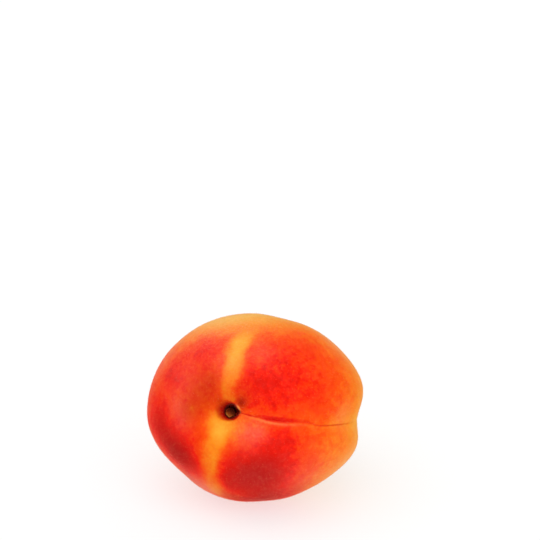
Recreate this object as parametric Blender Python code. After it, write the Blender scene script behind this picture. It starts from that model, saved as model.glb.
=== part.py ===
# Apricot lying on its cheek, with the stub of its stalk still in the stem hollow.
#
# The fruit has a frame of its own, with its centre on the stem's line:
#   local +Z runs out through the stem hollow, local +X towards the suture,
#   local +Y across to the upper cheek.
# A place on the skin is given by its polar angle from the stem (0 at the stem, 180 at the tip)
# and by its azimuth round the stem's line (0 towards the suture, counted towards local +Y).

import math

import bmesh
import bpy
from mathutils import Matrix, Vector

MM = 0.001

# Body: an ellipsoid whose middle stands off the stem's line, because the suture side is the fuller one
SUTURE_HALF = 25.8 * MM
CHEEK_HALF = 22.7 * MM
STEM_HALF = 24.4 * MM
BODY_OFFSET = 4.4 * MM
SHOULDER_FULLNESS = 0.03

# Departures from the ellipsoid, each along a whole meridian: azimuth in degrees, height, spread in degrees
SWELLINGS = {
    "upper suture lip": (12, 0.75 * MM, 13),
    "upper shoulder flat": (64, -0.58 * MM, 13),
    "crown": (112, 0.20 * MM, 20),
    "upper back": (150, 0.15 * MM, 16),
    "back": (189, 0.56 * MM, 20),
    "lower back flat": (231, -0.70 * MM, 16),
    "belly flat": (290, -0.35 * MM, 12),
    "lower shoulder flat": (314, -0.35 * MM, 12),
    "lower suture lip": (343, 0.75 * MM, 11),
}

# Suture: it leaves the stem at SUTURE_TURN degrees and straightens out towards the tip
SUTURE_TURN = -20.3
SUTURE_TURN_FADE = 52.5
VALLEY_DEPTH = 1.6 * MM
VALLEY_WIDTH = 4.2 * MM
VALLEY_START = 6.0
VALLEY_RUN = 0.93
CREASE_DEPTH = 0.12 * MM
CREASE_WIDTH = 0.35 * MM
SUTURE_START = (1.0, 8.0)
SUTURE_END = (150.0, 172.0)

# The crease in the valley opens to a lens near the stem, and it is fine but sharp further on.
# The lens adds to the crease's width on its upper side, and takes a little off on its lower side.
CREASE_LENS_AT = (28.0, 11.0)
CREASE_LENS_DEPTH = 0.55 * MM
CREASE_LENS_ABOVE = 0.45 * MM
CREASE_LENS_BELOW = -0.10 * MM
CREASE_LENS_ROUND = 0.5
CREASE_FINE_AT = (60.0, 12.0)
CREASE_FINE_DEPTH = 0.25 * MM
# It starts a little above the valley's middle. Each bend: from one polar angle to another, and its rise.
CREASE_OFF = 0.33 * MM
CREASE_BENDS = {
    "down into the lens": (17.0, 25.0, -0.22 * MM),
    "up out of the lens": (28.0, 42.0, 0.40 * MM),
    "back down past it": (42.0, 50.0, -0.72 * MM),
}

# Stem hollow: a wide basin, a funnel in it, a throat off to one side, and the pit that the stalk stands in
BASIN_DEPTH = 1.6 * MM
BASIN_SPREAD = 35.0
FUNNEL_DEPTH = 3.2 * MM
FUNNEL_SPREAD = 18.5
HOLLOW_STRETCH = 1.3
THROAT_DEPTH = 0.9 * MM
THROAT_SPREAD = 8.0
THROAT_AT = (1.0, 190.0)
# The pit's middle is a little off the stem's line, in degrees towards local +X and +Y,
# and its edge has a corner where the crease runs out of it
PIT_AT = (0.1, -0.85)
PIT_DEPTH = 3.0 * MM
PIT_EDGE = 5.25
PIT_STEEPNESS = 28
PIT_CORNER = 0.26
PIT_CORNER_AT = -5.0
PIT_CORNER_SPREAD = 18.0

# Tip: a small point in a shallow dimple, opposite the stem
TIP_DIMPLE = 0.7 * MM
TIP_DIMPLE_SPREAD = 20.0
TIP_POINT = 0.9 * MM
TIP_POINT_SPREAD = 6.0

# Stub of the stalk, broken off inside the pit. The profile runs from the middle of its foot
# to the middle of its cupped end, as shares of the radius and of the height.
STALK_RADIUS = 1.05 * MM
STALK_HEIGHT = 2.4 * MM
STALK_PROFILE = (
    (0.0, 0.0),
    (0.70, 0.0),
    (0.86, 0.10),
    (0.93, 0.30),
    (0.93, 0.60),
    (1.0, 0.92),
    (0.88, 1.0),
    (0.60, 0.87),
    (0.0, 0.82),
)
STALK_RIDGES = 5
STALK_RIDGE_HEIGHT = 0.05 * MM
STALK_RIDGE_TWIST = 115.0
# The broken end is uneven from this share of the height up: waves round it, their phase and their share
STALK_RAGGED = 0.16 * MM
STALK_RAGGED_FROM = 0.6
STALK_RAGGED_WAVES = ((3, 46.0, 1.0), (7, 120.0, 0.6))
STALK_LEAN = (-3.5, 3.5)
STALK_OFFSET = (-0.12 * MM, -0.36 * MM)
STALK_GAP = 0.55 * MM

# Finishes: linear colour and roughness
SKIN_COLOUR = (0.83, 0.12, 0.03)
SKIN_ROUGHNESS = 0.55
STALK_COLOUR = (0.20, 0.13, 0.03)
STALK_ROUGHNESS = 0.8

# How the fruit lies: the stem's line rises from the floor and turns a little aside
STEM_RISE = 22.4
STEM_ASIDE = 4.5
REST_PRESS = 0.72 * MM
REST_BLEND = 0.02 * MM

# Mesh: close rings in the stem hollow and wider ones beyond it; meridians crowd towards the suture
MERIDIANS = 88
HOLLOW_RINGS = 14
HOLLOW_REACH = 9.0
PIT_RING_BLEND = (9.0, 24.0)
BODY_RINGS = 46
BODY_RING_CROWDING = 1.2
MERIDIAN_CROWDING = 0.78
STALK_SIDES = 20
SHARP_ANGLE = 40.0
MERGE_DISTANCE = 0.01 * MM


def bell(value, middle, spread):
    return math.exp(-(((value - middle) / spread) ** 2))


def fade_between(value, start, end):
    """1 up to start, 0 from end on, smooth between them."""
    share = min(1.0, max(0.0, (value - start) / (end - start)))
    return 1.0 - share * share * (3.0 - 2.0 * share)


def turn_between(azimuth, other):
    """The signed angle from other to azimuth, in degrees from -180 to 180."""
    return (azimuth - other + 180.0) % 360.0 - 180.0


def suture_azimuth(polar):
    return SUTURE_TURN * math.exp(-polar / SUTURE_TURN_FADE)


def body_reach(polar, azimuth):
    """Distance from the fruit's centre to the off-centre ellipsoid in this direction."""
    side = math.sin(math.radians(polar))
    along = math.cos(math.radians(polar))
    to_suture = side * math.cos(math.radians(azimuth))
    across = side * math.sin(math.radians(azimuth))
    a = (
        (to_suture / SUTURE_HALF) ** 2
        + (across / CHEEK_HALF) ** 2
        + (along / STEM_HALF) ** 2
    )
    b = BODY_OFFSET * to_suture / SUTURE_HALF**2
    c = (BODY_OFFSET / SUTURE_HALF) ** 2 - 1.0
    reach = (b + math.sqrt(b * b - a * c)) / a
    return reach * (1.0 + SHOULDER_FULLNESS * side * side * along)


def swelling(polar, azimuth):
    total = sum(
        height * bell(turn_between(azimuth, middle), 0.0, spread)
        for middle, height, spread in SWELLINGS.values()
    )
    return total * math.sin(math.radians(polar)) ** 2


def crease_line(polar):
    """How far the crease runs above the valley's middle."""
    return CREASE_OFF + sum(
        rise * (1.0 - fade_between(polar, start, end))
        for start, end, rise in CREASE_BENDS.values()
    )


def crease_profile(off_crease, lens):
    """1 on the crease's line, falling off to both sides; lens is how much of the lens is here."""
    above = off_crease > 0.0
    width = CREASE_WIDTH + lens * (CREASE_LENS_ABOVE if above else CREASE_LENS_BELOW)
    power = 1.0 + lens * (CREASE_LENS_ROUND if above else 0.0)
    return math.exp(-((abs(off_crease) / width) ** power))


def suture_dip(polar, azimuth):
    """Depth of the suture: a wide valley with a narrow crease in it."""
    turn = turn_between(azimuth, suture_azimuth(polar))
    if abs(turn) > 90.0:
        return 0.0
    off_line = (
        SUTURE_HALF * math.sin(math.radians(polar)) * math.sin(math.radians(turn))
    )
    facing = math.cos(math.radians(turn)) ** 0.5
    valley = VALLEY_DEPTH * math.sin(math.radians(VALLEY_START + VALLEY_RUN * polar))
    lens = bell(polar, *CREASE_LENS_AT)
    crease = CREASE_DEPTH + CREASE_LENS_DEPTH * lens
    crease += CREASE_FINE_DEPTH * bell(polar, *CREASE_FINE_AT)
    dip = valley * bell(off_line, 0.0, VALLEY_WIDTH)
    dip += crease * crease_profile(off_line - crease_line(polar), lens)
    run = fade_between(polar, *SUTURE_END) - fade_between(polar, *SUTURE_START)
    return dip * facing * run


def from_pit(polar, azimuth):
    """The same two angles, counted round the pit's middle instead of the stem's line."""
    along = polar * math.cos(math.radians(azimuth)) - PIT_AT[0]
    across = polar * math.sin(math.radians(azimuth)) - PIT_AT[1]
    return math.hypot(along, across), math.degrees(math.atan2(across, along))


def stem_hollow(polar, azimuth):
    """Depth of the hollow round the stalk, longer along the suture than across it."""
    turn = math.radians(azimuth)
    stretched = polar * math.hypot(math.cos(turn) / HOLLOW_STRETCH, math.sin(turn))
    depth = BASIN_DEPTH * bell(stretched, 0.0, BASIN_SPREAD)
    depth += FUNNEL_DEPTH * bell(stretched, 0.0, FUNNEL_SPREAD)
    aside, towards = THROAT_AT
    across = polar * math.sin(math.radians(azimuth - towards))
    along = polar * math.cos(math.radians(azimuth - towards)) - aside
    depth += THROAT_DEPTH * math.exp(-((math.hypot(along, across) / THROAT_SPREAD) ** 4))
    away, around = from_pit(polar, azimuth)
    corner = bell(turn_between(around, PIT_CORNER_AT), 0.0, PIT_CORNER_SPREAD)
    edge = PIT_EDGE * (1.0 + PIT_CORNER * corner)
    return depth + PIT_DEPTH / (1.0 + (away / edge) ** PIT_STEEPNESS)


def tip_rise(polar):
    from_tip = 180.0 - polar
    point = TIP_POINT * bell(from_tip, 0.0, TIP_POINT_SPREAD)
    return point - TIP_DIMPLE * bell(from_tip, 0.0, TIP_DIMPLE_SPREAD)


def skin_point(polar, azimuth):
    reach = body_reach(polar, azimuth) + swelling(polar, azimuth) + tip_rise(polar)
    reach -= suture_dip(polar, azimuth) + stem_hollow(polar, azimuth)
    side = math.sin(math.radians(polar))
    return reach * Vector(
        (
            side * math.cos(math.radians(azimuth)),
            side * math.sin(math.radians(azimuth)),
            math.cos(math.radians(polar)),
        )
    )


def lying():
    """Rotation from the fruit's own frame to the way it lies: stem towards -Y, rising and turned aside."""
    stem_forward = Matrix.Rotation(math.radians(90.0 - STEM_RISE), 4, "X")
    return Matrix.Rotation(math.radians(-STEM_ASIDE), 4, "Z") @ stem_forward


def pressed(height):
    """Height of a point once the fruit rests: flat on the floor, with a rounded edge to the flat."""
    if height <= -REST_BLEND:
        return 0.0
    if height >= REST_BLEND:
        return height
    return (height + REST_BLEND) ** 2 / (4.0 * REST_BLEND)


def material(name, colour, roughness):
    made = bpy.data.materials.new(name)
    made.use_nodes = True
    shader = made.node_tree.nodes["Principled BSDF"]
    shader.inputs["Base Color"].default_value = (*colour, 1.0)
    shader.inputs["Roughness"].default_value = roughness
    shader.inputs["Metallic"].default_value = 0.0
    return made


def new_object(name, bm, finish):
    bmesh.ops.recalc_face_normals(bm, faces=bm.faces)
    mesh = bpy.data.meshes.new(name)
    bm.to_mesh(mesh)
    bm.free()
    mesh.materials.append(finish)
    mesh.shade_smooth()
    mesh.set_sharp_from_angle(angle=math.radians(SHARP_ANGLE))
    obj = bpy.data.objects.new(name, mesh)
    bpy.context.scene.collection.objects.link(obj)
    return obj


def ring_polar(ring):
    """Polar angle of a ring, counted from the stem."""
    if ring <= HOLLOW_RINGS:
        return HOLLOW_REACH * ring / HOLLOW_RINGS
    share = (ring - HOLLOW_RINGS) / BODY_RINGS
    return HOLLOW_REACH + (180.0 - HOLLOW_REACH) * share**BODY_RING_CROWDING


def round_the_pit(polar, azimuth):
    """The two angles of a place once the rings near the stem are moved to close round the pit."""
    near = fade_between(polar, *PIT_RING_BLEND)
    along = polar * math.cos(math.radians(azimuth)) + PIT_AT[0] * near
    across = polar * math.sin(math.radians(azimuth)) + PIT_AT[1] * near
    return math.hypot(along, across), math.degrees(math.atan2(across, along))


def make_fruit():
    """A sphere whose rings and meridians are moved, shaped by skin_point and pressed flat where it rests."""
    rings = HOLLOW_RINGS + BODY_RINGS
    bm = bmesh.new()
    bmesh.ops.create_uvsphere(bm, u_segments=MERIDIANS, v_segments=rings, radius=1.0)
    for vert in bm.verts:
        share = math.acos(max(-1.0, min(1.0, vert.co.z))) / math.pi
        polar = ring_polar(round(share * rings))
        around = math.atan2(vert.co.y, vert.co.x)
        around -= MERIDIAN_CROWDING * math.sin(around)
        azimuth = math.degrees(around) + suture_azimuth(polar)
        vert.co = skin_point(*round_the_pit(polar, azimuth))

    turned = lying()
    lowest = min((turned @ vert.co).z for vert in bm.verts)
    centre_height = -lowest - REST_PRESS
    own_frame = turned.inverted()
    for vert in bm.verts:
        place = turned @ vert.co
        place.z = pressed(place.z + centre_height) - centre_height
        vert.co = own_frame @ place

    places = [turned @ vert.co for vert in bm.verts]
    middle = [
        (min(place[k] for place in places) + max(place[k] for place in places)) / 2
        for k in range(2)
    ]
    fruit = new_object("fruit", bm, material("fruit_skin", SKIN_COLOUR, SKIN_ROUGHNESS))
    location = Vector((-middle[0], -middle[1], centre_height))
    fruit.matrix_world = Matrix.Translation(location) @ turned
    return fruit


def ridge(around, up):
    """How much wider the stub is here than its profile, as a factor."""
    turn = STALK_RIDGES * around + math.radians(STALK_RIDGE_TWIST) * up
    return 1.0 + STALK_RIDGE_HEIGHT / STALK_RADIUS * math.cos(turn)


def ragged_rise(around, out, up):
    """How much higher the broken end is here than its profile."""
    waves = sum(
        share * math.sin(count * around + math.radians(phase))
        for count, phase, share in STALK_RAGGED_WAVES
    )
    reached = max(0.0, up - STALK_RAGGED_FROM) / (1.0 - STALK_RAGGED_FROM)
    return STALK_RAGGED * out * reached * waves


def make_stalk(fruit):
    """The profile spun round the stalk's own line, then ridged on its side and ragged at its end."""
    bm = bmesh.new()
    verts = [
        bm.verts.new((out * STALK_RADIUS, 0.0, up * STALK_HEIGHT))
        for out, up in STALK_PROFILE
    ]
    edges = [bm.edges.new(pair) for pair in zip(verts, verts[1:])]
    bmesh.ops.spin(
        bm,
        geom=verts + edges,
        axis=(0, 0, 1),
        cent=(0, 0, 0),
        angle=math.tau,
        steps=STALK_SIDES,
        use_merge=True,
    )
    bmesh.ops.remove_doubles(bm, verts=bm.verts, dist=MERGE_DISTANCE)
    for vert in bm.verts:
        around = math.atan2(vert.co.y, vert.co.x)
        out = math.hypot(vert.co.x, vert.co.y) / STALK_RADIUS
        up = vert.co.z / STALK_HEIGHT
        vert.co.x *= ridge(around, up)
        vert.co.y *= ridge(around, up)
        vert.co.z += ragged_rise(around, out, up)
    stalk = new_object("stalk_stub", bm, material("stalk_bark", STALK_COLOUR, STALK_ROUGHNESS))
    to_left, to_front = (math.radians(lean) for lean in STALK_LEAN)
    lean = Matrix.Rotation(to_left, 4, "Y") @ Matrix.Rotation(to_front, 4, "X")
    pit_floor = skin_point(0.0, 0.0).z
    foot = Vector((*STALK_OFFSET, pit_floor + STALK_GAP))
    stalk.parent = fruit
    stalk.matrix_local = Matrix.Translation(foot) @ lean


def main():
    for obj in list(bpy.data.objects):
        bpy.data.objects.remove(obj, do_unlink=True)
    fruit = make_fruit()
    make_stalk(fruit)


main()
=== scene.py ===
# A ripe apricot on a pale studio floor, lying on its cheek with the stem hollow to the camera.
import math

import bpy
import numpy as np
from mathutils import Matrix, Vector


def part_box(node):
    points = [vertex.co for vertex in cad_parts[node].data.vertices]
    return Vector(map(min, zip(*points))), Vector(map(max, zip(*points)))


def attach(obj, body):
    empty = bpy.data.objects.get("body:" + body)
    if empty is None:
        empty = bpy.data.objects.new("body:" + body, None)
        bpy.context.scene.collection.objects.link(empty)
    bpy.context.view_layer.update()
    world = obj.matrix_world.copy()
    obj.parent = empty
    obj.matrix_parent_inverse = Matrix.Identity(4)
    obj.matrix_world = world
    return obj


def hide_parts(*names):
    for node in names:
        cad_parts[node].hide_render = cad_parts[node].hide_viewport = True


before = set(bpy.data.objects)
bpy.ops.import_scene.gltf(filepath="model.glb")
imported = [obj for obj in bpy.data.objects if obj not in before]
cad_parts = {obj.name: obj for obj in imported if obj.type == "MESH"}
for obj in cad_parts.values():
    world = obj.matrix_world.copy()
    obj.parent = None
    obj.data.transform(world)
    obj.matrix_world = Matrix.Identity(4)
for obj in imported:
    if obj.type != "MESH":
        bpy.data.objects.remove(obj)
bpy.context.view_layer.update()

mm = 0.001
noiseStart = 400  # where the fruit's middle lies in the noise's lattice, in millimetres
fruitLow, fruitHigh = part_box("fruit")
fruitMiddle = (fruitLow + fruitHigh) / 2
print("frame loaded, the fruit is", [round(1000 * s, 1) for s in fruitHigh - fruitLow], "mm")


# Small helpers

def bell(value, middle, spread):  # exp(-((value - middle) / spread)^2)
    return np.exp(-(((value - middle) / spread) ** 2))


def fadeBetween(value, start, end):  # 1 up to start, 0 from end on, 3t^2 - 2t^3 between them
    share = np.clip((value - start) / (end - start), 0, 1)
    return 1 - share * share * (3 - 2 * share)


def turnBetween(azimuth, other):  # signed angle from other to azimuth, -180 to 180 degrees
    return (azimuth - other + 180) % 360 - 180


def smoothNoise(points, cell, seed):
    # random values from -1 to 1 on a cubic lattice, blended between its corners with 3t^2 - 2t^3
    side = 48
    lattice = np.random.default_rng(seed).uniform(-1, 1, (side, side, side))
    corner = np.floor(points / cell).astype(int)
    t = points / cell - corner
    t = t * t * (3 - 2 * t)
    total = 0
    for step in ((0, 0, 0), (0, 0, 1), (0, 1, 0), (0, 1, 1), (1, 0, 0), (1, 0, 1), (1, 1, 0), (1, 1, 1)):
        weight = np.prod(np.where(step, t, 1 - t), axis=-1)
        at = (corner + step) % side
        total = total + weight * lattice[at[..., 0], at[..., 1], at[..., 2]]
    return total


def unit(vectors):  # each vector divided by its own length
    return vectors / np.linalg.norm(vectors, axis=-1, keepdims=True)


def perPole(grid):  # a grid's rows as the mesh has them: its first and last row are one vertex each
    return np.concatenate([grid[:1, 0], grid[1:-1].reshape(-1, *grid.shape[2:]), grid[-1:, 0]])


def newPiece(name, vertices, faces):  # a smooth-shaded mesh object at the origin
    mesh = bpy.data.meshes.new(name)
    mesh.from_pydata(vertices.tolist(), [], faces)
    mesh.shade_smooth()
    mesh.update()
    piece = bpy.data.objects.new(name, mesh)
    bpy.context.scene.collection.objects.link(piece)
    return piece


def meshFromGrid(name, points):
    # points[row, column]: rows run from one pole to the other, columns round it. Quads join
    # neighbours, and triangles close both poles.
    rows, columns = points.shape[:2]
    vertices = perPole(points)
    rings = rows - 2
    row, column = np.meshgrid(np.arange(rings - 1), np.arange(columns), indexing="ij")
    here = 1 + row * columns + column
    beside = 1 + row * columns + (column + 1) % columns
    faces = np.stack([here, here + columns, beside + columns, beside], -1).reshape(-1, 4).tolist()
    ring = np.arange(columns)
    following = (ring + 1) % columns
    faces += np.stack([np.zeros_like(ring), 1 + ring, 1 + following], -1).tolist()
    foot = 1 + (rings - 1) * columns
    last = np.full_like(ring, len(vertices) - 1)
    faces += np.stack([last, foot + following, foot + ring], -1).tolist()
    return newPiece(name, vertices, faces)


def addField(piece, name, grid):  # one number a vertex, read by the materials
    layer = piece.data.attributes.new(name, "FLOAT", "POINT")
    layer.data.foreach_set("value", perPole(grid).astype(np.float32))


class Nodes:
    # A material's nodes, added one by one. An input is a number, a colour or another socket, and is
    # named by its label or, as _0 or _6, by its place.
    def __init__(self, name):
        self.material = bpy.data.materials.new(name)
        self.material.use_nodes = True
        self.tree = self.material.node_tree
        self.shader = self.tree.nodes["Principled BSDF"]

    def put(self, node, **inputs):
        for name, value in inputs.items():
            key = int(name[1:]) if name[0] == "_" else name.replace("_", " ")
            socket = node.inputs[key]
            if isinstance(value, bpy.types.NodeSocket):
                self.tree.links.new(value, socket)
            else:
                socket.default_value = value
        return node

    def add(self, kind, settings=(), **inputs):
        node = self.tree.nodes.new("ShaderNode" + kind)
        for name, value in dict(settings).items():
            setattr(node, name, value)
        return self.put(node, **inputs)

    def maths(self, operation, *values):
        inputs = {f"_{k}": value for k, value in enumerate(values)}
        return self.add("Math", {"operation": operation}, **inputs).outputs[0]

    def field(self, name):  # a number that the mesh carries at its vertices
        return self.add("Attribute", {"attribute_name": name}).outputs["Fac"]

    def noise(self, size, detail, roughness=0.5):  # size of its spots in millimetres
        place = self.add("TexCoord").outputs["Object"]
        place = self.add("Mapping", Vector=place, Scale=[1 / (size * mm)] * 3).outputs[0]
        return self.add("TexNoise", Vector=place, Scale=1, Detail=detail, Roughness=roughness).outputs[0]

    def ramp(self, value, stops):  # stops: (position, linear colour)
        node = self.add("ValToRGB", Fac=value)
        elements = node.color_ramp.elements
        while len(elements) < len(stops):
            elements.new(0.5)
        for element, (position, colour) in zip(elements, stops):
            element.position = position
            element.color = (*colour, 1)
        return node.outputs["Color"]

    def mix(self, share, first, second, blend="MIX"):  # share 0 is the first colour
        node = self.add("Mix", {"data_type": "RGBA", "blend_type": blend})
        return self.put(node, _0=share, _6=first, _7=second).outputs[2]


# The fruit's form: the same values as its solid has, in millimetres and degrees.
# polar counts from the stem (0) to the tip (180), azimuth from the suture (0) up over the cheek.

fruitForm = {
    "sutureHalf": 25.8, "cheekHalf": 22.7, "stemHalf": 24.4,
    "bodyOffset": 4.4, "shoulderFullness": 0.03,
    "swellings": {
        "upper suture lip": (12, 0.75, 13),
        "upper shoulder flat": (64, -0.58, 13),
        "crown": (112, 0.20, 20),
        "upper back": (150, 0.15, 16),
        "back": (189, 0.56, 20),
        "lower back flat": (231, -0.70, 16),
        "belly flat": (290, -0.35, 12),
        "lower shoulder flat": (314, -0.35, 12),
        "lower suture lip": (343, 0.75, 11),
    },
    "sutureTurn": -20.3, "sutureTurnFade": 52.5,
    "valleyDepth": 1.6, "valleyWidth": 4.2, "valleyStart": 6, "valleyRun": 0.93,
    "sutureStart": (1, 8), "sutureEnd": (150, 172),
    "creaseDepth": 0.12, "creaseWidth": 0.35,
    "lensAt": (28, 11), "lensDepth": 0.55, "lensAbove": 0.45, "lensBelow": -0.10, "lensRound": 0.5,
    "fineAt": (60, 12), "fineDepth": 0.25,
    "creaseOff": 0.33,
    "creaseBends": {
        "down into the lens": (17, 25, -0.22),
        "up out of the lens": (28, 42, 0.40),
        "back down past it": (42, 50, -0.72),
    },
    "basinDepth": 1.6, "basinSpread": 35, "funnelDepth": 3.2, "funnelSpread": 18.5,
    "hollowStretch": 1.3, "throatDepth": 0.9, "throatSpread": 8, "throatAt": (1, 190),
    "pitDepth": 3.0, "pitEdge": 5.25, "pitSteepness": 28, "pitAt": (0.1, -0.85), "pitBlend": (9, 24),
    "pitCorner": 0.26, "cornerAt": -5, "cornerReach": 18,
    "tipDimple": 0.7, "tipDimpleSpread": 20, "tipPoint": 0.9, "tipPointSpread": 6,
    "stemRise": 22.4, "stemAside": 4.5, "restPress": 0.72, "restBlend": 0.02,
}
skinMesh = {"hollowRings": 56, "hollowReach": 9.5, "bodyRings": 206, "bodyCrowding": 1.15,
            "meridians": 360, "meridianCrowding": 0.78}


def sutureAzimuth(polar):  # turn * exp(-polar / fade): turned at the stem, straight at the tip
    return fruitForm["sutureTurn"] * np.exp(-polar / fruitForm["sutureTurnFade"])


def bodyReach(polar, azimuth):
    # Distance from the fruit's centre to an ellipsoid whose middle is shifted towards the suture, times
    # 1 + fullness * sin(polar)^2 * cos(polar), which fills the shoulders
    f = fruitForm
    side, along = np.sin(np.radians(polar)), np.cos(np.radians(polar))
    toSuture = side * np.cos(np.radians(azimuth))
    across = side * np.sin(np.radians(azimuth))
    a = (toSuture / f["sutureHalf"]) ** 2 + (across / f["cheekHalf"]) ** 2 + (along / f["stemHalf"]) ** 2
    b = f["bodyOffset"] * toSuture / f["sutureHalf"] ** 2
    c = (f["bodyOffset"] / f["sutureHalf"]) ** 2 - 1
    reach = (b + np.sqrt(b * b - a * c)) / a
    return reach * (1 + f["shoulderFullness"] * side * side * along)


def offSuture(polar, azimuth):
    # Millimetres off the suture's line, half * sin(polar) * sin(turn from it), and how far this side
    # faces it, the square root of cos(turn), 0 on the far side
    turn = np.radians(turnBetween(azimuth, sutureAzimuth(polar)))
    off = fruitForm["sutureHalf"] * np.sin(np.radians(polar)) * np.sin(turn)
    return off, np.sqrt(np.maximum(0, np.cos(turn)))


def creaseLine(polar):  # millimetres that the crease runs above the valley's middle, bend after bend
    bends = fruitForm["creaseBends"].values()
    return fruitForm["creaseOff"] + sum(rise * (1 - fadeBetween(polar, a, b)) for a, b, rise in bends)


def sutureDip(polar, azimuth):
    # Valley: a bell across the line. Crease: exp(-(distance / width)^power), with a steep lower side
    # all along and, at the lens, a wide and rounded upper side
    f = fruitForm
    off, facing = offSuture(polar, azimuth)
    valley = f["valleyDepth"] * np.sin(np.radians(f["valleyStart"] + f["valleyRun"] * polar))
    lens = bell(polar, *f["lensAt"])
    crease = f["creaseDepth"] + f["lensDepth"] * lens + f["fineDepth"] * bell(polar, *f["fineAt"])
    fromLine = off - creaseLine(polar)
    width = f["creaseWidth"] + np.where(fromLine > 0, f["lensAbove"], f["lensBelow"]) * lens
    power = 1 + np.where(fromLine > 0, f["lensRound"], 0) * lens
    dip = valley * bell(off, 0, f["valleyWidth"])
    dip = dip + crease * np.exp(-((np.abs(fromLine) / width) ** power))
    run = fadeBetween(polar, *f["sutureEnd"]) - fadeBetween(polar, *f["sutureStart"])
    return dip * facing * run


def fromPit(polar, azimuth):  # the same two angles, counted round the pit, which is a little off the stem
    along = polar * np.cos(np.radians(azimuth)) - fruitForm["pitAt"][0]
    across = polar * np.sin(np.radians(azimuth)) - fruitForm["pitAt"][1]
    return np.hypot(along, across), np.degrees(np.arctan2(across, along))


def pitEdgeAt(around):  # the pit has one corner, where the crease runs into it
    f = fruitForm
    corner = bell(turnBetween(around, f["cornerAt"]), 0, f["cornerReach"])
    return f["pitEdge"] * (1 + f["pitCorner"] * corner)


def pitShare(away, edge):  # 1 in the pit, 0 outside: 1 / (1 + (angle / edge)^n)
    return 1 / (1 + (away / edge) ** fruitForm["pitSteepness"])


def stemHollow(polar, azimuth):
    # A wide basin and a funnel, both bells of the polar angle and wider towards the suture, a throat
    # at one side of the stem, exp(-(angle / spread)^4), and the pit
    f = fruitForm
    turn = np.radians(azimuth)
    stretched = polar * np.hypot(np.cos(turn) / f["hollowStretch"], np.sin(turn))
    depth = f["basinDepth"] * bell(stretched, 0, f["basinSpread"])
    depth = depth + f["funnelDepth"] * bell(stretched, 0, f["funnelSpread"])
    aside, towards = f["throatAt"]
    across = polar * np.sin(np.radians(azimuth - towards))
    along = polar * np.cos(np.radians(azimuth - towards)) - aside
    depth = depth + f["throatDepth"] * np.exp(-((np.hypot(along, across) / f["throatSpread"]) ** 4))
    away, around = fromPit(polar, azimuth)
    return depth + f["pitDepth"] * pitShare(away, pitEdgeAt(around))


def skinReach(polar, azimuth):
    # Body, plus the swellings, bells of the azimuth that fade out at both poles, plus the tip's small
    # point, less the tip's dimple, the suture's groove and the stem hollow
    f = fruitForm
    side = np.sin(np.radians(polar))
    reach = bodyReach(polar, azimuth)
    for middle, height, spread in f["swellings"].values():
        reach = reach + height * bell(turnBetween(azimuth, middle), 0, spread) * side * side
    fromTip = 180 - polar
    reach = reach + f["tipPoint"] * bell(fromTip, 0, f["tipPointSpread"])
    reach = reach - f["tipDimple"] * bell(fromTip, 0, f["tipDimpleSpread"])
    return reach - sutureDip(polar, azimuth) - stemHollow(polar, azimuth)


def direction(polar, azimuth):  # the unit vector of two angles
    side = np.sin(np.radians(polar))
    return np.stack([side * np.cos(np.radians(azimuth)), side * np.sin(np.radians(azimuth)),
                     np.cos(np.radians(polar)) + 0 * azimuth], -1)


lying = np.array(Matrix.Rotation(math.radians(-fruitForm["stemAside"]), 3, "Z")
                 @ Matrix.Rotation(math.radians(90 - fruitForm["stemRise"]), 3, "X"))


def skinGrid():
    # polar and azimuth of every grid point: close rings round the pit, meridians crowded at the suture
    m = skinMesh
    inner = np.linspace(0, m["hollowReach"], m["hollowRings"], endpoint=False)
    share = np.linspace(0, 1, m["bodyRings"] + 1)
    outer = m["hollowReach"] + (180 - m["hollowReach"]) * share ** m["bodyCrowding"]
    polar = np.concatenate([inner, outer])
    around = np.linspace(-math.pi, math.pi, m["meridians"], endpoint=False)
    around = around - m["meridianCrowding"] * np.sin(around)
    polar, around = np.meshgrid(polar, np.degrees(around), indexing="ij")
    turn = np.radians(around + sutureAzimuth(polar))
    near = fadeBetween(polar, *fruitForm["pitBlend"])
    along = polar * np.cos(turn) + fruitForm["pitAt"][0] * near
    across = polar * np.sin(turn) + fruitForm["pitAt"][1] * near
    return np.hypot(along, across), np.degrees(np.arctan2(across, along))


def placeOf(points):
    # Own frame in millimetres to the row's frame in metres. What would be below the floor is pressed
    # flat, and within the blend of the floor the height is (height + blend)^2 / (4 * blend).
    turned = points @ lying.T
    height = turned[..., 2] + fruitSeat[2]
    blend = fruitForm["restBlend"]
    rounded = (height + blend) ** 2 / (4 * blend)
    height = np.where(height <= -blend, 0, np.where(height >= blend, height, rounded))
    return np.stack([turned[..., 0] + fruitSeat[0], turned[..., 1] + fruitSeat[1], height], -1) * mm


# Fine relief that the solid leaves out, in millimetres

fineForm = {
    "noiseRadius": 22, "calmRoundPit": (4, 12),
    "waveSize": 4.5, "waveHeight": 0.07, "rippleSize": 1.6, "rippleHeight": 0.018,
    "wrinkles": 26, "wrinkleHeight": 0.05, "wrinkleAt": (9.0, 4.0),
    "wanderSize": 2.2, "wander": 1.3, "wrinkleSwing": 2, "wrinkleEven": 0.6, "wrinkleUneven": 0.4,
    "lipHeight": 0.12, "lipAt": (6.3, 1.0), "lipMiddle": 32, "lipReach": 42,
    "wornDepth": 0.42, "wornAt": (5.6, 1.1), "wornMiddle": -150, "wornReach": 80,
    "pitSides": {"above the corner": (42, 0.14, 26), "below the corner": (-52, 0.17, 28)},
}


def narrowed(around):  # share of the pit's radius that its two sides beside the corner leave open
    bulges = fineForm["pitSides"].values()
    return 1 - sum(share * bell(turnBetween(around, middle), 0, reach) for middle, share, reach in bulges)


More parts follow.
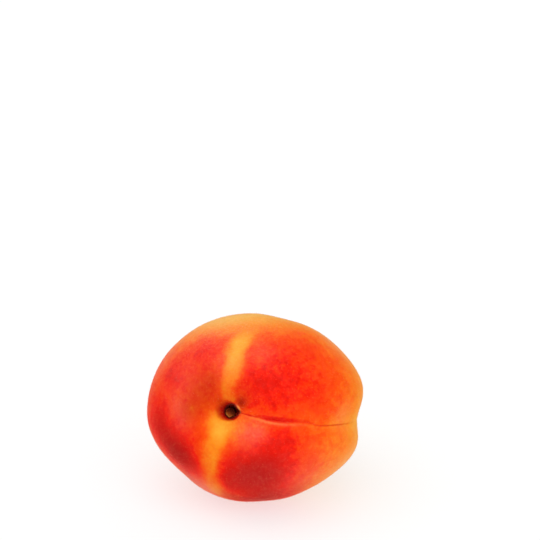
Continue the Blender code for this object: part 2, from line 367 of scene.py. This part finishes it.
def fineRelief(polar, azimuth):
    # Undulations from noise; wrinkles that run out of the pit, cos(count * angle round it) in a bell
    # of the distance from it; the swollen lip at one side of the pit, its other side rounded off, both
    # bells; and the two sides beside its corner closed in
    f = fineForm
    places = f["noiseRadius"] * direction(polar, azimuth) + noiseStart
    awayFromPit = 1 - fadeBetween(polar, *f["calmRoundPit"])
    relief = f["waveHeight"] * smoothNoise(places, f["waveSize"], seed=3) * awayFromPit
    relief = relief + f["rippleHeight"] * smoothNoise(places, f["rippleSize"], seed=4) * awayFromPit
    wander = f["wander"] * smoothNoise(places, f["wanderSize"], seed=5)
    away, around = fromPit(polar, azimuth)
    wrinkles = np.cos(f["wrinkles"] * np.radians(around) + f["wrinkleSwing"] * wander)
    wrinkles = wrinkles * (f["wrinkleEven"] + f["wrinkleUneven"] * wander)
    relief = relief + f["wrinkleHeight"] * wrinkles * bell(away, *f["wrinkleAt"])
    lip = bell(away, *f["lipAt"]) * bell(turnBetween(around, f["lipMiddle"]), 0, f["lipReach"])
    worn = bell(away, *f["wornAt"]) * bell(turnBetween(around, f["wornMiddle"]), 0, f["wornReach"])
    edge = pitEdgeAt(around)
    sides = fruitForm["pitDepth"] * (pitShare(away, edge) - pitShare(away, edge * narrowed(around)))
    return relief + f["lipHeight"] * lip - f["wornDepth"] * worn + sides


polar, azimuth = skinGrid()
skinDirection = direction(polar, azimuth)
ownPoints = (skinReach(polar, azimuth) + fineRelief(polar, azimuth))[..., None] * skinDirection
turnedPoints = ownPoints @ lying.T
fruitSeat = np.array([0, 0, -turnedPoints[..., 2].min() - fruitForm["restPress"]])
for k in range(2):
    fruitSeat[k] = 1000 * fruitMiddle[k] - (turnedPoints[..., k].min() + turnedPoints[..., k].max()) / 2
skin = meshFromGrid("apricotSkin", placeOf(ownPoints))
print("skin made,", len(skin.data.polygons), "faces")

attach(skin, "root")
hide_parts("fruit")


# Colour of the skin. Blush runs from 0, yellow, to 1, dark crimson. Each soft patch has its place
# (polar, azimuth), how much it adds, and its spread in degrees. Haze is the milky bloom of the down,
# and at the top, the rims and the crease's lips it is painted sheen and painted highlight. Dusk darkens:
# it is painted shade in the stem hollow, the crease and the pit, and it darkens the underside.

skinColour = {
    "ramp": [(0, (0.98, 0.46, 0.045)), (0.2, (0.96, 0.26, 0.012)), (0.4, (0.93, 0.075, 0.003)),
             (0.6, (0.86, 0.010, 0.002)), (0.8, (0.51, 0.003, 0.002)), (1, (0.28, 0.002, 0.002))],
    "blush": 0.48,
    "blushPatches": {
        "left cheek": (50, -139, 0.36, 15),
        "left edge": (55, -168, 0.24, 16),
        "lower left": (42, -95, 0.30, 20),
        "belly": (42, -54, 0.33, 17.5),
        "under the belly": (72, -70, 0.45, 20),
        "right of the stem": (44, 34, 0.28, 41),
        "beside the lower end": (62, -89, -0.12, 8),
        "right of the pit": (22, 40, 0.09, 9),
        "left of the strip": (45, 116, 0.23, 13),
        "upper left": (48, 150, 0.20, 11),
        "towards the tip": (131, 2, -0.58, 83),
        "top": (79, 94, -0.43, 36),
        "below the pit": (10, -100, -0.28, 14),
        "top of the pit": (7.5, 84, -0.16, 3),
        "below the crease": (34, -21, 0.10, 6),
        "above the crease": (38, 3, -0.05, 6),
        # Painted highlight: the ridge over the crease's end is paler
        "painted highlight on the ridge over the crease's end": (64, -2, -0.05, 6),
        "below the crease's end": (64, -7, 0.07, 7),
        "beside the lower strip": (31, -115, -0.24, 10),
        "lower left of the stem": (20, -130, 0.07, 5),
    },
    "stripPatches": {
        "beside the stem": (14, 80, 0.13, 6),
        "below the stem": (15, -109, -0.09, 5),
        "left of the lower end": (34, -97, -0.07, 6),
        "above the stem": (36, 94, -0.09, 8),
        "at the bottom": (63, -98, -0.20, 9),
    },
    "hazeColour": (1.0, 0.80, 0.66),
    # Haze: the down's milky bloom, with painted sheen and painted highlights where marked
    "bloomAndSheenPatches": {
        # Painted sheen on the top and, in the next three lines, on the rims
        "top": (76, 100, 0.13, 30),
        "right rim": (87, 34, 0.10, 11),
        "lower right rim": (83, -25, 0.11, 10),
        "upper left rim": (76, 148, 0.08, 16),
        # Painted highlights on the crease's lower lip, here and in the next line
        "below the crease": (17, -56, 0.045, 8),
        "painted highlight on the crease's lower lip": (20, -36, 0.045, 5.5),
        "lower right": (66, -41, 0.06, 16),
        "belly": (42, -72, 0.012, 12),
        # Painted highlight on the ridge over the crease's end
        "painted highlight on the ridge over the crease's end": (64, -2, 0.04, 6),
        "round the basin": (37, 177, 0.04, 7),
        # Here the down's bloom and a painted reflection of the pale floor; in the next line painted sheen
        # at the left rim
        "lower left": (68, -112, 0.165, 12),
        "left rim": (75, -140, 0.06, 14),
        "upper left": (38, 150, 0.03, 12),
        "left of the stem": (34, -165, 0.03, 7),
        "right of the upper strip": (38, 64, 0.03, 8),
        "upper strip": (29, 93, 0.035, 9),
    },
    "duskPatches": {
        # Painted shade on the stem hollow's upper left wall
        "painted shade on the basin's side": (21, 147, 0.24, 12.5),
        "beside the strip": (24, 123, 0.09, 6),
        "above the pit": (13, 56, 0.13, 8),
        # Painted shadow of a fold in the hollow's rim, here, and painted shade in the pit's upper left,
        # next
        "painted shadow of a fold beside the lip": (8.5, 38, 0.42, 3.5),
        "painted shade at the pit's upper left": (8.5, 145, 0.22, 3.5),
        "left": (28, -178, 0.17, 8),
        "left side": (23, -140, 0.08, 50),
        # These lines darken the fruit towards its underside
        "bottom edge": (69, -57, 0.19, 12),
        "lower end of the strip": (65, -90, 0.18, 10),
        "lower left rim": (65, -122, 0.09, 8),
        "belly": (31, -73, 0.10, 8),
        "under the belly": (70, -84, 0.15, 8),
    },
    # The strip's upper and lower part, each pair
    "stripFadeFrom": (42, 90), "stripFadeOver": (18, 40),
    "stripOff": (-1.55, -2.1), "stripHalf": (2.35, 2.25), "stripWider": (-1.9, 1.1),
    "stripBlush": (0.30, 0.05), "stripBlushRise": (-0.0044, 0.0056),
    # The whole strip
    "stripTurn": 10, "stripUneven": 0.5, "stripUnevenSize": 2.6, "stripFrom": (5, 7),
    "stripNearStem": 14, "stripSteepness": 2.7, "stripSideBlend": 1.5,
    "stripBend": 1.7, "stripBendAt": (34, 58),
    "stripLowBend": 1.2, "stripLowWider": 0.7, "stripLowAt": (42, 60),
    # Valley and crease; the crease's line and lens hold painted shade, its pale edge a painted highlight
    "valleyBlush": -0.08, "valleyWidth": 2.2, "valleyFrom": (7, 15), "lineFrom": (5, 8),
    "creaseStart": (11, 6), "creaseWidth": 0.15, "creaseShadeBlush": 0.13, "creaseShadeDusk": 0.22,
    "lensAt": (28.5, 15), "lensMiddle": 0.56, "lensHalf": 0.64, "lensLeast": 0.1,
    "lensBlushAndShade": 0.19, "lensShadeDusk": 0.08,
    "edgeOff": -0.50, "edgeWidth": 0.40, "edgeHighlightHaze": 0.05, "edgeHighlightBlush": -0.11, "edgeAt": (26, 13),
    # Pit, each pair for its wall and for the wall's low side: painted shade, lighter on the lit low
    # side; throat and lip, the lip partly a painted highlight
    "pitShadeBlush": (0.82, 0.34), "pitShadeDusk": (0.15, -0.1),
    "pitEdge": (4.7, 5.5), "pitLowAt": -80, "pitLowReach": 70, "cornerShadeDusk": 0.6, "cornerReach": 28,
    "throatStart": 5, "throatEnd": (6.6, 16.0), "throatMiddle": 165, "throatReach": 62,
    "throatDusk": 0.66, "throatBlush": 0.66, "throatPower": 1.5,
    "lipHaze": 0.09, "lipBlush": -0.25, "lipLight": 0.7,
    "lipAt": (5.7, 0.8), "lipMiddle": 30, "lipReach": 28,
}


def softPatches(patches):  # sum of amount * exp(-(angle from the patch's place / spread)^2)
    total = np.zeros(polar.shape)
    for place, around, amount, spread in patches.values():
        cosine = np.clip(skinDirection @ direction(np.array(place), np.array(around)), -1, 1)
        total = total + amount * bell(np.degrees(np.arccos(cosine)), 0, spread)
    return total


def stripField():
    # The yellow strip's share and its blush. It lies where a plane cuts the skin, a little beside the
    # stem, bent aside at both ends and wider at the lower one: its share is
    # exp(-(distance to it / half width)^steepness).
    c = skinColour
    upper = 1 / (1 + np.exp(-ownPoints[..., 1] / c["stripSideBlend"]))

    def part(name):
        return upper * c[name][0] + (1 - upper) * c[name][1]

    turn = math.radians(c["stripTurn"])
    away = ownPoints[..., 0] * math.cos(turn) - ownPoints[..., 1] * math.sin(turn) - part("stripOff")
    away = away - c["stripBend"] * upper * (1 - fadeBetween(polar, *c["stripBendAt"]))
    uneven = smoothNoise(ownPoints + noiseStart, c["stripUnevenSize"], seed=11)
    away = away + c["stripUneven"] * uneven
    half = part("stripHalf") + part("stripWider") * bell(polar, 0, c["stripNearStem"])
    low = (1 - upper) * (1 - fadeBetween(polar, *c["stripLowAt"]))
    away = away - c["stripLowBend"] * low
    half = half + c["stripLowWider"] * low
    share = np.exp(-(np.abs(away / half) ** c["stripSteepness"]))
    share = share * (1 - fadeBetween(polar, *c["stripFrom"]))
    fadeFrom = part("stripFadeFrom")
    share = share * fadeBetween(polar, fadeFrom, fadeFrom + part("stripFadeOver"))
    blush = part("stripBlush") + part("stripBlushRise") * polar + softPatches(c["stripPatches"])
    return share, blush


def creaseColours(blush, haze, dusk, away, off, facing):
    # The crease is a fine bell across its line, reddened and darkened as painted shade in the groove. At
    # its lens it is red and wide, exp(-(distance / half width)^4), the skin's own red with painted shade
    # of the groove's upper wall, and a pale edge runs below it, a painted highlight on the lower lip.
    c = skinColour
    fromLine = off - creaseLine(polar)
    line = (facing > 0) * (1 - fadeBetween(away, *c["lineFrom"]))
    crease = line * bell(fromLine, 0, c["creaseWidth"])
    crease = crease * np.maximum(bell(polar, *fruitForm["fineAt"]), bell(polar, *c["creaseStart"]))
    share = bell(polar, *c["lensAt"])
    half = c["lensLeast"] + c["lensHalf"] * share
    lens = line * share * np.exp(-((fromLine - c["lensMiddle"] * share) / half) ** 4)
    blush = blush + c["creaseShadeBlush"] * crease + c["lensBlushAndShade"] * lens
    dusk = dusk + c["creaseShadeDusk"] * crease + c["lensShadeDusk"] * lens
    # The pale edge below the crease is a painted highlight on the lower lip
    edge = line * bell(fromLine, c["edgeOff"], c["edgeWidth"]) * bell(polar, *c["edgeAt"])
    blush = blush + c["edgeHighlightBlush"] * edge
    haze = haze * (1 - np.maximum(lens, crease)) + c["edgeHighlightHaze"] * edge
    return blush, haze, dusk


def pitColours(blush, haze, dusk, away, around):
    # The pit is dark red, painted shade, darkest at the corner where the crease runs in, but lighter on
    # its low side, which faces the light. A darkened throat fades out over a distance that is a bell of
    # the angle round the pit, longest to its left, and a pale lip lies at its right, partly paler skin
    # and partly a painted highlight.
    c = skinColour
    lip = bell(away, *c["lipAt"]) * bell(turnBetween(around, c["lipMiddle"]), 0, c["lipReach"])
    near, far = c["throatEnd"]
    end = near + (far - near) * bell(turnBetween(around, c["throatMiddle"]), 0, c["throatReach"])
    throat = fadeBetween(away, c["throatStart"], end) * (1 - lip)
    blush = blush + (c["throatBlush"] - blush) * throat ** c["throatPower"] + c["lipBlush"] * lip
    haze = haze * (1 - throat) + c["lipHaze"] * lip
    dusk = np.maximum(dusk * (1 - c["lipLight"] * lip), c["throatDusk"] * throat)
    inPit = fadeBetween(away / narrowed(around), *c["pitEdge"])
    low = bell(turnBetween(around, c["pitLowAt"]), 0, c["pitLowReach"])
    deep = c["pitShadeBlush"][0] + (c["pitShadeBlush"][1] - c["pitShadeBlush"][0]) * low
    dark = c["pitShadeDusk"][0] + (c["pitShadeDusk"][1] - c["pitShadeDusk"][0]) * low
    corner = bell(turnBetween(around, fruitForm["cornerAt"]), 0, c["cornerReach"])
    dark = dark + c["cornerShadeDusk"] * corner
    return blush + (deep - blush) * inPit, haze * (1 - inPit), dusk + (dark - dusk) * inPit


def skinFields():
    # Sums of soft patches, with the valley's bell and the yellow strip in the blush, and then the
    # crease and the pit laid over all three
    c = skinColour
    off, facing = offSuture(polar, azimuth)
    front = (facing > 0) * (1 - fadeBetween(polar, *c["valleyFrom"]))
    blush = c["blush"] + softPatches(c["blushPatches"])
    blush = blush + c["valleyBlush"] * front * bell(off, 0, c["valleyWidth"])
    share, inStrip = stripField()
    blush = blush * (1 - share) + inStrip * share
    haze = softPatches(c["bloomAndSheenPatches"])
    dusk = softPatches(c["duskPatches"])
    away, around = fromPit(polar, azimuth)
    blush, haze, dusk = creaseColours(blush, haze, dusk, away, off, facing)
    return pitColours(blush, haze, dusk, away, around)


for name, field in zip(("blush", "haze", "dusk"), skinFields()):
    addField(skin, name, field)


skinFinish = {
    "mottleSize": 1.7, "mottle": 0.38, "cloudSize": 6.5, "cloud": 0.20, "fleckSize": 0.55, "fleck": 0.20,
    "noiseRoughness": 0.6, "ceiling": 0.68,
    "calm": 0.15, "calmRise": 1.5, "darkFrom": 0.6, "darkRise": 4, "darkCalm": 0.8,
    "hazeSpecks": 2.0, "speckSize": 0.5,
    "downSize": 2.0, "downFine": 0.65, "veil": 0.007, "veilSpecks": 4.5,
    "shade": 0.13, "shadeInRed": 0.03, "shadeLevel": 1.6,
    "roughness": 0.55, "specular": 0.015,
    "sheen": 0.11, "sheenRoughness": 0.26, "sheenTint": (1.0, 0.76, 0.56, 1),
    "subsurface": 0.12, "subsurfaceReach": (1.0, 0.35, 0.12), "subsurfaceScale": 1.5,
    "grainSize": 0.35, "grainHeight": 0.02,
}


def noiseShare(n, blush):
    # How much noise the blush takes: calm + rise * blush, at most 1, and less again in the crimson
    s = skinFinish
    share = n.maths("MINIMUM", 1, n.maths("ADD", s["calm"], n.maths("MULTIPLY", blush, s["calmRise"])))
    dark = n.maths("MULTIPLY", n.maths("SUBTRACT", blush, s["darkFrom"]), s["darkRise"])
    dark = n.maths("MINIMUM", 1, n.maths("MAXIMUM", 0, dark))
    return n.maths("MULTIPLY", share, n.maths("SUBTRACT", 1, n.maths("MULTIPLY", dark, s["darkCalm"])))


def skinMaterial():
    # Blush plus three noises runs through the ramp. Haze, speckled, which holds painted sheen and
    # highlights, and an uneven veil of down are mixed in, then dusk, with its painted shade, and the
    # down's shade are multiplied on.
    s = skinFinish
    n = Nodes("apricotSkinMaterial")
    plain = n.field("blush")
    share = noiseShare(n, plain)
    blush = plain
    for size, amount, detail in ((s["mottleSize"], s["mottle"], 3), (s["cloudSize"], s["cloud"], 2),
                                 (s["fleckSize"], s["fleck"], 1)):
        uneven = n.maths("SUBTRACT", n.noise(size, detail, roughness=s["noiseRoughness"]), 0.5)
        uneven = n.maths("MULTIPLY", uneven, amount)
        blush = n.maths("ADD", blush, n.maths("MULTIPLY", uneven, share))
    blush = n.maths("MINIMUM", blush, n.maths("MAXIMUM", plain, s["ceiling"]))
    colour = n.ramp(blush, skinColour["ramp"])

    specks = n.maths("MULTIPLY", n.noise(s["speckSize"], detail=2), s["hazeSpecks"])
    specks = n.maths("ADD", 1 - s["hazeSpecks"] / 2, specks)
    down = n.maths("ADD", n.noise(s["downSize"], detail=2), n.noise(s["downFine"], detail=2))
    veil = n.maths("ADD", 1 - s["veilSpecks"], n.maths("MULTIPLY", down, s["veilSpecks"]))
    veil = n.maths("MULTIPLY", n.maths("MAXIMUM", 0, veil), n.maths("MULTIPLY", plain, s["veil"]))
    haze = n.maths("ADD", n.maths("MULTIPLY", n.field("haze"), specks), veil)
    colour = n.mix(haze, colour, (*skinColour["hazeColour"], 1))

    shade = n.maths("MULTIPLY", plain, s["shade"] - s["shadeInRed"])
    shade = n.maths("SUBTRACT", s["shade"], shade)
    shade = n.maths("MULTIPLY", n.maths("SUBTRACT", s["shadeLevel"], down), shade)
    light = n.maths("SUBTRACT", 1, n.field("dusk"))
    light = n.maths("MULTIPLY", light, n.maths("SUBTRACT", 1, shade))
    grey = n.add("CombineColor", Red=light, Green=light, Blue=light).outputs[0]
    colour = n.mix(1, colour, grey, "MULTIPLY")
    height = n.noise(s["grainSize"], detail=2)
    grain = n.add("Bump", Height=height, Distance=s["grainHeight"] * mm, Strength=1)
    n.put(n.shader, Base_Color=colour, Normal=grain.outputs[0], Roughness=s["roughness"])
    n.put(n.shader, Specular_IOR_Level=s["specular"], Sheen_Weight=s["sheen"])
    n.put(n.shader, Sheen_Roughness=s["sheenRoughness"], Sheen_Tint=s["sheenTint"])
    n.put(n.shader, Subsurface_Weight=s["subsurface"], Subsurface_Radius=s["subsurfaceReach"])
    n.put(n.shader, Subsurface_Scale=s["subsurfaceScale"] * mm)
    return n.material


skin.data.materials.append(skinMaterial())
print("skin coloured")

# The stub of the stalk: a profile turned round its own line, from below the pit's floor up to the
# broken end. Out is a share of its radius, up a share of its height.

stub = {
    "radius": 1.05, "height": 2.4, "lean": (-3.5, 3.5), "offset": (-0.12, -0.36), "gap": 0.55,
    "out": (0, 0.9, 1.05, 0.95, 0.93, 0.95, 1.0, 0.97, 0.86, 0.70, 0.45, 0.22, 0),
    "up": (-0.36, -0.36, -0.1, 0.25, 0.6, 0.8, 0.92, 0.98, 1.0, 0.93, 0.86, 0.84, 0.86),
    "rows": 66, "columns": 120,
    "ridges": 5, "ridgeHeight": 0.05, "ridgeTwist": 115,
    "fibres": 23, "fibreHeight": 0.02, "fibreSways": 3, "fibreSway": 1.5,
    "ragged": 0.2, "raggedFrom": 0.6, "raggedWaves": ((3, 46, 1.0), (7, 120, 0.6)),
    "splinters": 0.10, "splinterPower": 3, "splinterSize": 0.22, "splinterStart": 50,
    "fineShare": 0.5, "fineSize": 0.1,
    "endFrom": 6.5, "endOver": 1.5,  # where the end's finish sets in, counted in points of the profile
}


def stubGrid():
    # Ridges: cos(count * angle). The broken end rises with waves, sin(count * angle + phase), and with
    # noise, so that it ends in splinters.
    b = stub
    at = np.linspace(0, len(b["out"]) - 1, b["rows"])
    out = np.interp(at, np.arange(len(b["out"])), b["out"])[:, None]
    up = np.interp(at, np.arange(len(b["up"])), b["up"])[:, None]
    around = np.linspace(0, 2 * math.pi, b["columns"], endpoint=False)[None, :]
    ridges = b["ridgeHeight"] * np.cos(b["ridges"] * around + math.radians(b["ridgeTwist"]) * up)
    sway = b["fibreSway"] * np.sin(b["fibreSways"] * around)
    ridges = ridges + b["fibreHeight"] * np.cos(b["fibres"] * around + sway)
    radius = b["radius"] * out * (1 + ridges / b["radius"])
    waves = sum(share * np.sin(count * around + math.radians(phase))
                for count, phase, share in b["raggedWaves"])
    high = np.clip((up - b["raggedFrom"]) / (1 - b["raggedFrom"]), 0, 1)
    flat = np.stack([radius * np.cos(around), radius * np.sin(around), 0 * radius], -1)
    torn = flat + b["splinterStart"]
    splinters = smoothNoise(torn, b["splinterSize"], seed=21)
    splinters = splinters + b["fineShare"] * smoothNoise(torn, b["fineSize"], seed=22)
    rise = b["ragged"] * out * high * waves + b["splinters"] * high ** b["splinterPower"] * splinters
    local = flat + np.stack([0 * rise, 0 * rise, b["height"] * up + rise], -1)
    lean = np.array(Matrix.Rotation(math.radians(b["lean"][0]), 3, "Y")
                    @ Matrix.Rotation(math.radians(b["lean"][1]), 3, "X"))
    pitFloor = float(skinReach(np.array(0.0), np.array(0.0)))
    foot = np.array([*b["offset"], pitFloor + b["gap"]])
    onEnd = np.clip((at[:, None] - b["endFrom"]) / b["endOver"], 0, 1) + 0 * around
    return local @ lean.T + foot, onEnd, out + 0 * around


stubPoints, onEnd, outShare = stubGrid()
stalk = meshFromGrid("apricotStalk", placeOf(stubPoints))
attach(stalk, "root")
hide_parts("stalk_stub")
addField(stalk, "onEnd", onEnd)
addField(stalk, "outShare", outShare)

stubFinish = {
    "ramp": [(0, (0.035, 0.003, 0.001)), (0.35, (0.10, 0.012, 0.002)), (0.65, (0.26, 0.050, 0.006)),
             (1, (0.42, 0.17, 0.030))],
    "side": 0.40, "end": 0.25, "rim": 0.16, "rimPower": 6, "litSide": (-0.55, -0.83, 0), "litGain": 0.52,
    "speckle": 0.7, "speckleSize": 0.22,
    "roughness": 0.85, "specular": 0.05, "grainSize": 0.12, "grainHeight": 0.03,
}
litSide = unit(np.array(stubFinish["litSide"]))  # painted light: the side that faces the lamps is paler, the far side darker
addField(stalk, "lit", ((stubPoints[..., :2] - stub["offset"]) @ litSide[:2]) / stub["radius"])


def stubMaterial():
    # Bark on the side, torn wood on the end. One level runs through the ramp: a value for the side and
    # one for the end, plus the end's rim, painted light that makes one side paler and the other darker,
    # and speckles of noise.
    b = stubFinish
    n = Nodes("apricotStalkMaterial")
    end = n.field("onEnd")
    level = n.maths("ADD", b["side"], n.maths("MULTIPLY", end, b["end"] - b["side"]))
    rim = n.maths("POWER", n.field("outShare"), b["rimPower"])
    level = n.maths("ADD", level, n.maths("MULTIPLY", n.maths("MULTIPLY", rim, end), b["rim"]))
    level = n.maths("ADD", level, n.maths("MULTIPLY", n.field("lit"), b["litGain"]))
    speckle = n.maths("SUBTRACT", n.noise(b["speckleSize"], detail=4, roughness=0.65), 0.5)
    level = n.maths("ADD", level, n.maths("MULTIPLY", speckle, b["speckle"]))
    height = n.noise(b["grainSize"], detail=3, roughness=0.6)
    grain = n.add("Bump", Height=height, Distance=b["grainHeight"] * mm, Strength=1)
    n.put(n.shader, Base_Color=n.ramp(level, b["ramp"]), Normal=grain.outputs[0])
    n.put(n.shader, Roughness=b["roughness"], Specular_IOR_Level=b["specular"])
    return n.material


stalk.data.materials.append(stubMaterial())
print("stalk made")

# Fuzz: short fine hairs all over the skin but in the pit and under the fruit, each a slim closed spike

fuzz = {
    "pieces": 2, "hairs": 44000, "seed": 30,
    "length": (0.14, 0.30), "width": 0.012, "sunk": 0.02, "lean": 0.8,
    "clearOfPit": 6.6, "clearOfFloor": 0.15,
    "tones": {"straw": (0.92, 0.56, 0.30), "amber": (0.86, 0.36, 0.13), "rust": (0.70, 0.16, 0.05)},
    "roughness": 0.7, "specular": 0.2,
}


def skinSamples(count, draw):
    # Places and normals at random over the skin, a face's chance is its area
    mesh = skin.data
    places = np.empty(3 * len(mesh.vertices))
    mesh.vertices.foreach_get("co", places)
    places = places.reshape(-1, 3) / mm
    columns = skinMesh["meridians"]
    rings = (len(places) - 2) // columns
    grid = places[1:-1].reshape(rings, columns, 3)
    alongRing = np.roll(grid, -1, axis=1)[:-1] - grid[:-1]
    alongMeridian = grid[1:] - grid[:-1]
    normal = np.cross(alongMeridian, alongRing)
    area = np.linalg.norm(normal, axis=-1)
    hairy = area * (fromPit(polar, azimuth)[0][1:-2] > fuzz["clearOfPit"])
    chosen = draw.choice(area.size, count, p=(hairy / hairy.sum()).ravel())
    share = draw.uniform(0, 1, (count, 2))
    start = grid[:-1].reshape(-1, 3)[chosen]
    start = start + share[:, :1] * alongRing.reshape(-1, 3)[chosen]
    start = start + share[:, 1:] * alongMeridian.reshape(-1, 3)[chosen]
    return start, (normal / area[..., None]).reshape(-1, 3)[chosen]


def fuzzPiece(name, seed):
    # Each hair: three corners round its root and one at its tip, leaning at random off the normal. Its
    # tone is drawn too.
    draw = np.random.default_rng(seed)
    root, normal = skinSamples(fuzz["hairs"], draw)
    aside = unit(np.cross(normal, draw.normal(size=root.shape)))
    across = np.cross(normal, aside)
    heading = unit(normal + fuzz["lean"] * draw.uniform(0, 1, (len(root), 1)) * aside)
    tip = root + heading * draw.uniform(*fuzz["length"], (len(root), 1))
    root = root - fuzz["sunk"] * normal
    reach = fuzz["width"] / math.sqrt(3)
    corners = []
    for k in range(3):
        turn = 2 * math.pi * k / 3
        corners.append(root + reach * (math.cos(turn) * aside + math.sin(turn) * across))
    hairs = np.stack([*corners, tip], 1)
    hairs = hairs[hairs[..., 2].min(1) > fuzz["clearOfFloor"]]
    first = 4 * np.arange(len(hairs))[:, None, None]
    faces = first + np.array([(0, 2, 1), (0, 1, 3), (1, 2, 3), (2, 0, 3)])
    piece = newPiece(name, hairs.reshape(-1, 3) * mm, faces.reshape(-1, 3).tolist())
    tone = np.repeat(draw.integers(0, len(fuzz["tones"]), len(hairs)), 4)
    for material in fuzzMaterials:
        piece.data.materials.append(material)
    piece.data.polygons.foreach_set("material_index", tone.astype(np.int32))
    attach(piece, "root")


fuzzMaterials = []
for toneName, toneColour in fuzz["tones"].items():
    hair = Nodes("apricotFuzz" + toneName.capitalize())
    hair.put(hair.shader, Base_Color=(*toneColour, 1), Roughness=fuzz["roughness"])
    hair.put(hair.shader, Specular_IOR_Level=fuzz["specular"])
    fuzzMaterials.append(hair.material)
for number in range(1, fuzz["pieces"] + 1):
    fuzzPiece(f"apricotFuzz{number}", fuzz["seed"] + number)
print("fuzz made, up to", fuzz["pieces"] * fuzz["hairs"], "hairs")

# Studio: a pale floor under an even white sky, a wide soft light from the upper left, a weaker one in
# front. The floor is a light table: its own glow keeps the shadow and the red that the fruit casts faint.

studio = {
    "floorHalf": 1.5, "floorTone": 0.38, "floorGlow": 0.61, "floorRoughness": 0.9, "floorSpecular": 0.1,
    "worldStrength": 0.66, "worldSeen": 1.0,
    "topLight": {"towards": (-0.35, -0.35, 0.87), "width": 80, "strength": 1.2},
    "frontLight": {"towards": (0.45, -0.85, 0.28), "width": 80, "strength": 1.1},
}
floorMesh = bpy.data.meshes.new("floor")
half = studio["floorHalf"]
floorCorners = [(-half, -half, 0), (half, -half, 0), (half, half, 0), (-half, half, 0)]
floorMesh.from_pydata(floorCorners, [], [(0, 1, 2, 3)])
floor = bpy.data.objects.new("floor", floorMesh)
bpy.context.scene.collection.objects.link(floor)
paper = Nodes("floorPaper")
paper.put(paper.shader, Base_Color=(*[studio["floorTone"]] * 3, 1), Roughness=studio["floorRoughness"])
paper.put(paper.shader, Specular_IOR_Level=studio["floorSpecular"])
paper.put(paper.shader, Emission_Color=(1, 1, 1, 1), Emission_Strength=studio["floorGlow"])
floor.data.materials.append(paper.material)

world = bpy.data.worlds.new("studioWorld")  # white where it is seen, a little dimmer as a light
world.use_nodes = True
backdrop = world.node_tree.nodes["Background"]
backdrop.inputs["Color"].default_value = (1, 1, 1, 1)
brightness = world.node_tree.nodes.new("ShaderNodeMapRange")
brightness.inputs["To Min"].default_value = studio["worldStrength"]
brightness.inputs["To Max"].default_value = studio["worldSeen"]
seen = world.node_tree.nodes.new("ShaderNodeLightPath")
world.node_tree.links.new(seen.outputs["Is Camera Ray"], brightness.inputs["Value"])
world.node_tree.links.new(brightness.outputs["Result"], backdrop.inputs["Strength"])
bpy.context.scene.world = world


def softLight(name, towards, width, strength):  # a light far away, as wide as a large soft box
    lamp = bpy.data.lights.new(name, "SUN")
    lamp.angle = math.radians(width)
    lamp.energy = strength
    holder = bpy.data.objects.new(name, lamp)
    holder.rotation_euler = Vector(towards).to_track_quat("Z", "Y").to_euler()
    bpy.context.scene.collection.objects.link(holder)


softLight("topLight", **studio["topLight"])
softLight("frontLight", **studio["frontLight"])

# Camera: as the photograph looks at the fruit, which sits low in its frame, so the axis is raised
# and turned. The frame's side and the place of the fruit's middle in it are in pixels.

shot = {
    "lens": 100, "sensor": 36, "distance": 0.3645, "elevation": 25, "clipStart": 0.01,
    "frameSide": 540, "fruitAt": (253.6, 404.2),
}
focal = shot["lens"] / shot["sensor"] * shot["frameSide"]
elevation = math.radians(shot["elevation"])
raised = elevation - math.atan((shot["fruitAt"][1] - shot["frameSide"] / 2) / focal)
turned = math.atan((shot["fruitAt"][0] - shot["frameSide"] / 2) / focal)
level = math.cos(raised)
forward = Vector((-math.sin(turned) * level, math.cos(turned) * level, -math.sin(raised)))
right = forward.cross(Vector((0, 0, 1))).normalized()
above = right.cross(forward)
camera = bpy.data.objects.new("camera", bpy.data.cameras.new("camera"))
camera.data.lens = shot["lens"]
camera.data.sensor_width = shot["sensor"]
camera.data.clip_start = shot["clipStart"]
camera.location = fruitMiddle + shot["distance"] * Vector((0, -math.cos(elevation), math.sin(elevation)))
camera.rotation_euler = Matrix((right, above, -forward)).transposed().to_euler()
bpy.context.scene.collection.objects.link(camera)
bpy.context.scene.camera = camera
bpy.context.scene.view_settings.view_transform = "Standard"
print("studio and camera set")
